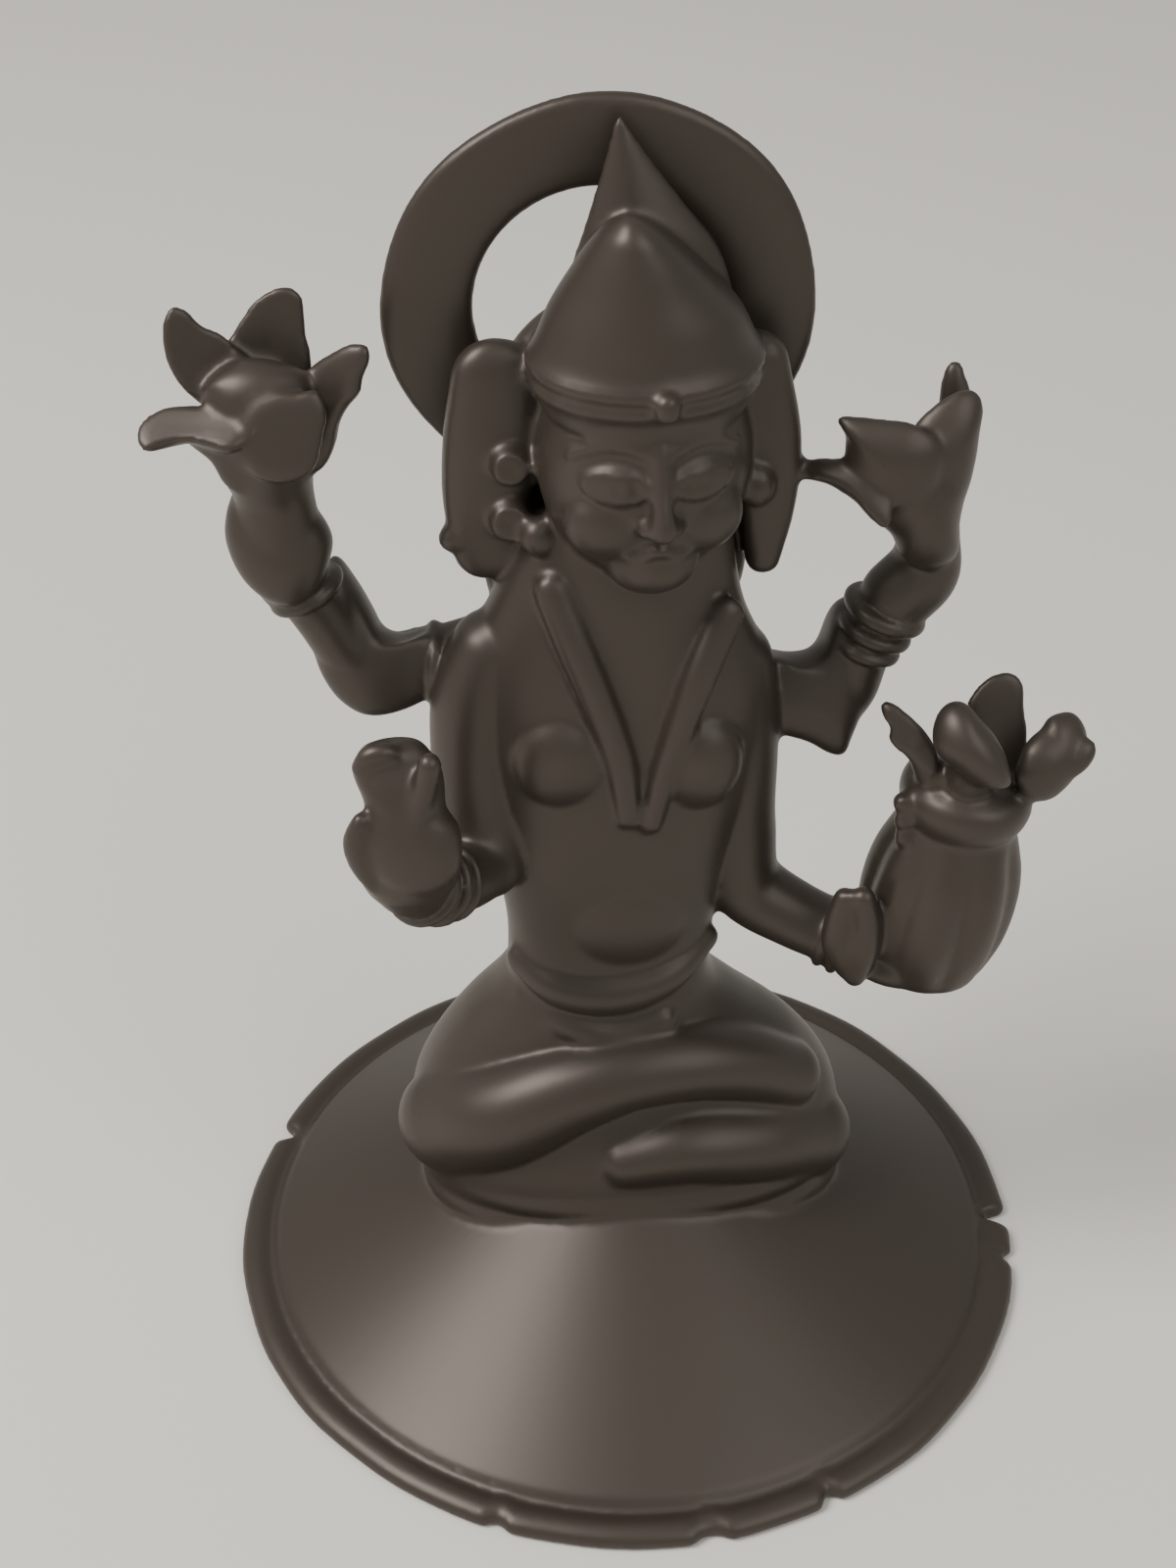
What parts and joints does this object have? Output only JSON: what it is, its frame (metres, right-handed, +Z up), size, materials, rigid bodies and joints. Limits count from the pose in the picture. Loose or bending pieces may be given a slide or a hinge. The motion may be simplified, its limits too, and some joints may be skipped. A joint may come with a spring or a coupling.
{
  "type": "seated four-armed lakshmi statue",
  "caption": "Small cast brass Lakshmi statue, seated cross-legged on a brimmed conical base, with raised lotus flowers, a flower pot and a ring halo.",
  "frame": {"origin": "middle of the round base's underside, in the plane of its flat foot ring", "axes": "+Z up through the halo, -Y the way the figure faces, +X towards the hand that holds the pot"},
  "size_m": [0.1008, 0.0998, 0.1493],
  "materials": {
    "dark_brass": "dark brown patina, half gloss on high points, tan dirt in the recesses"
  },
  "bodies": {
    "root": {"lakshmi_statue": "dark_brass"}
  },
  "joints": []
}
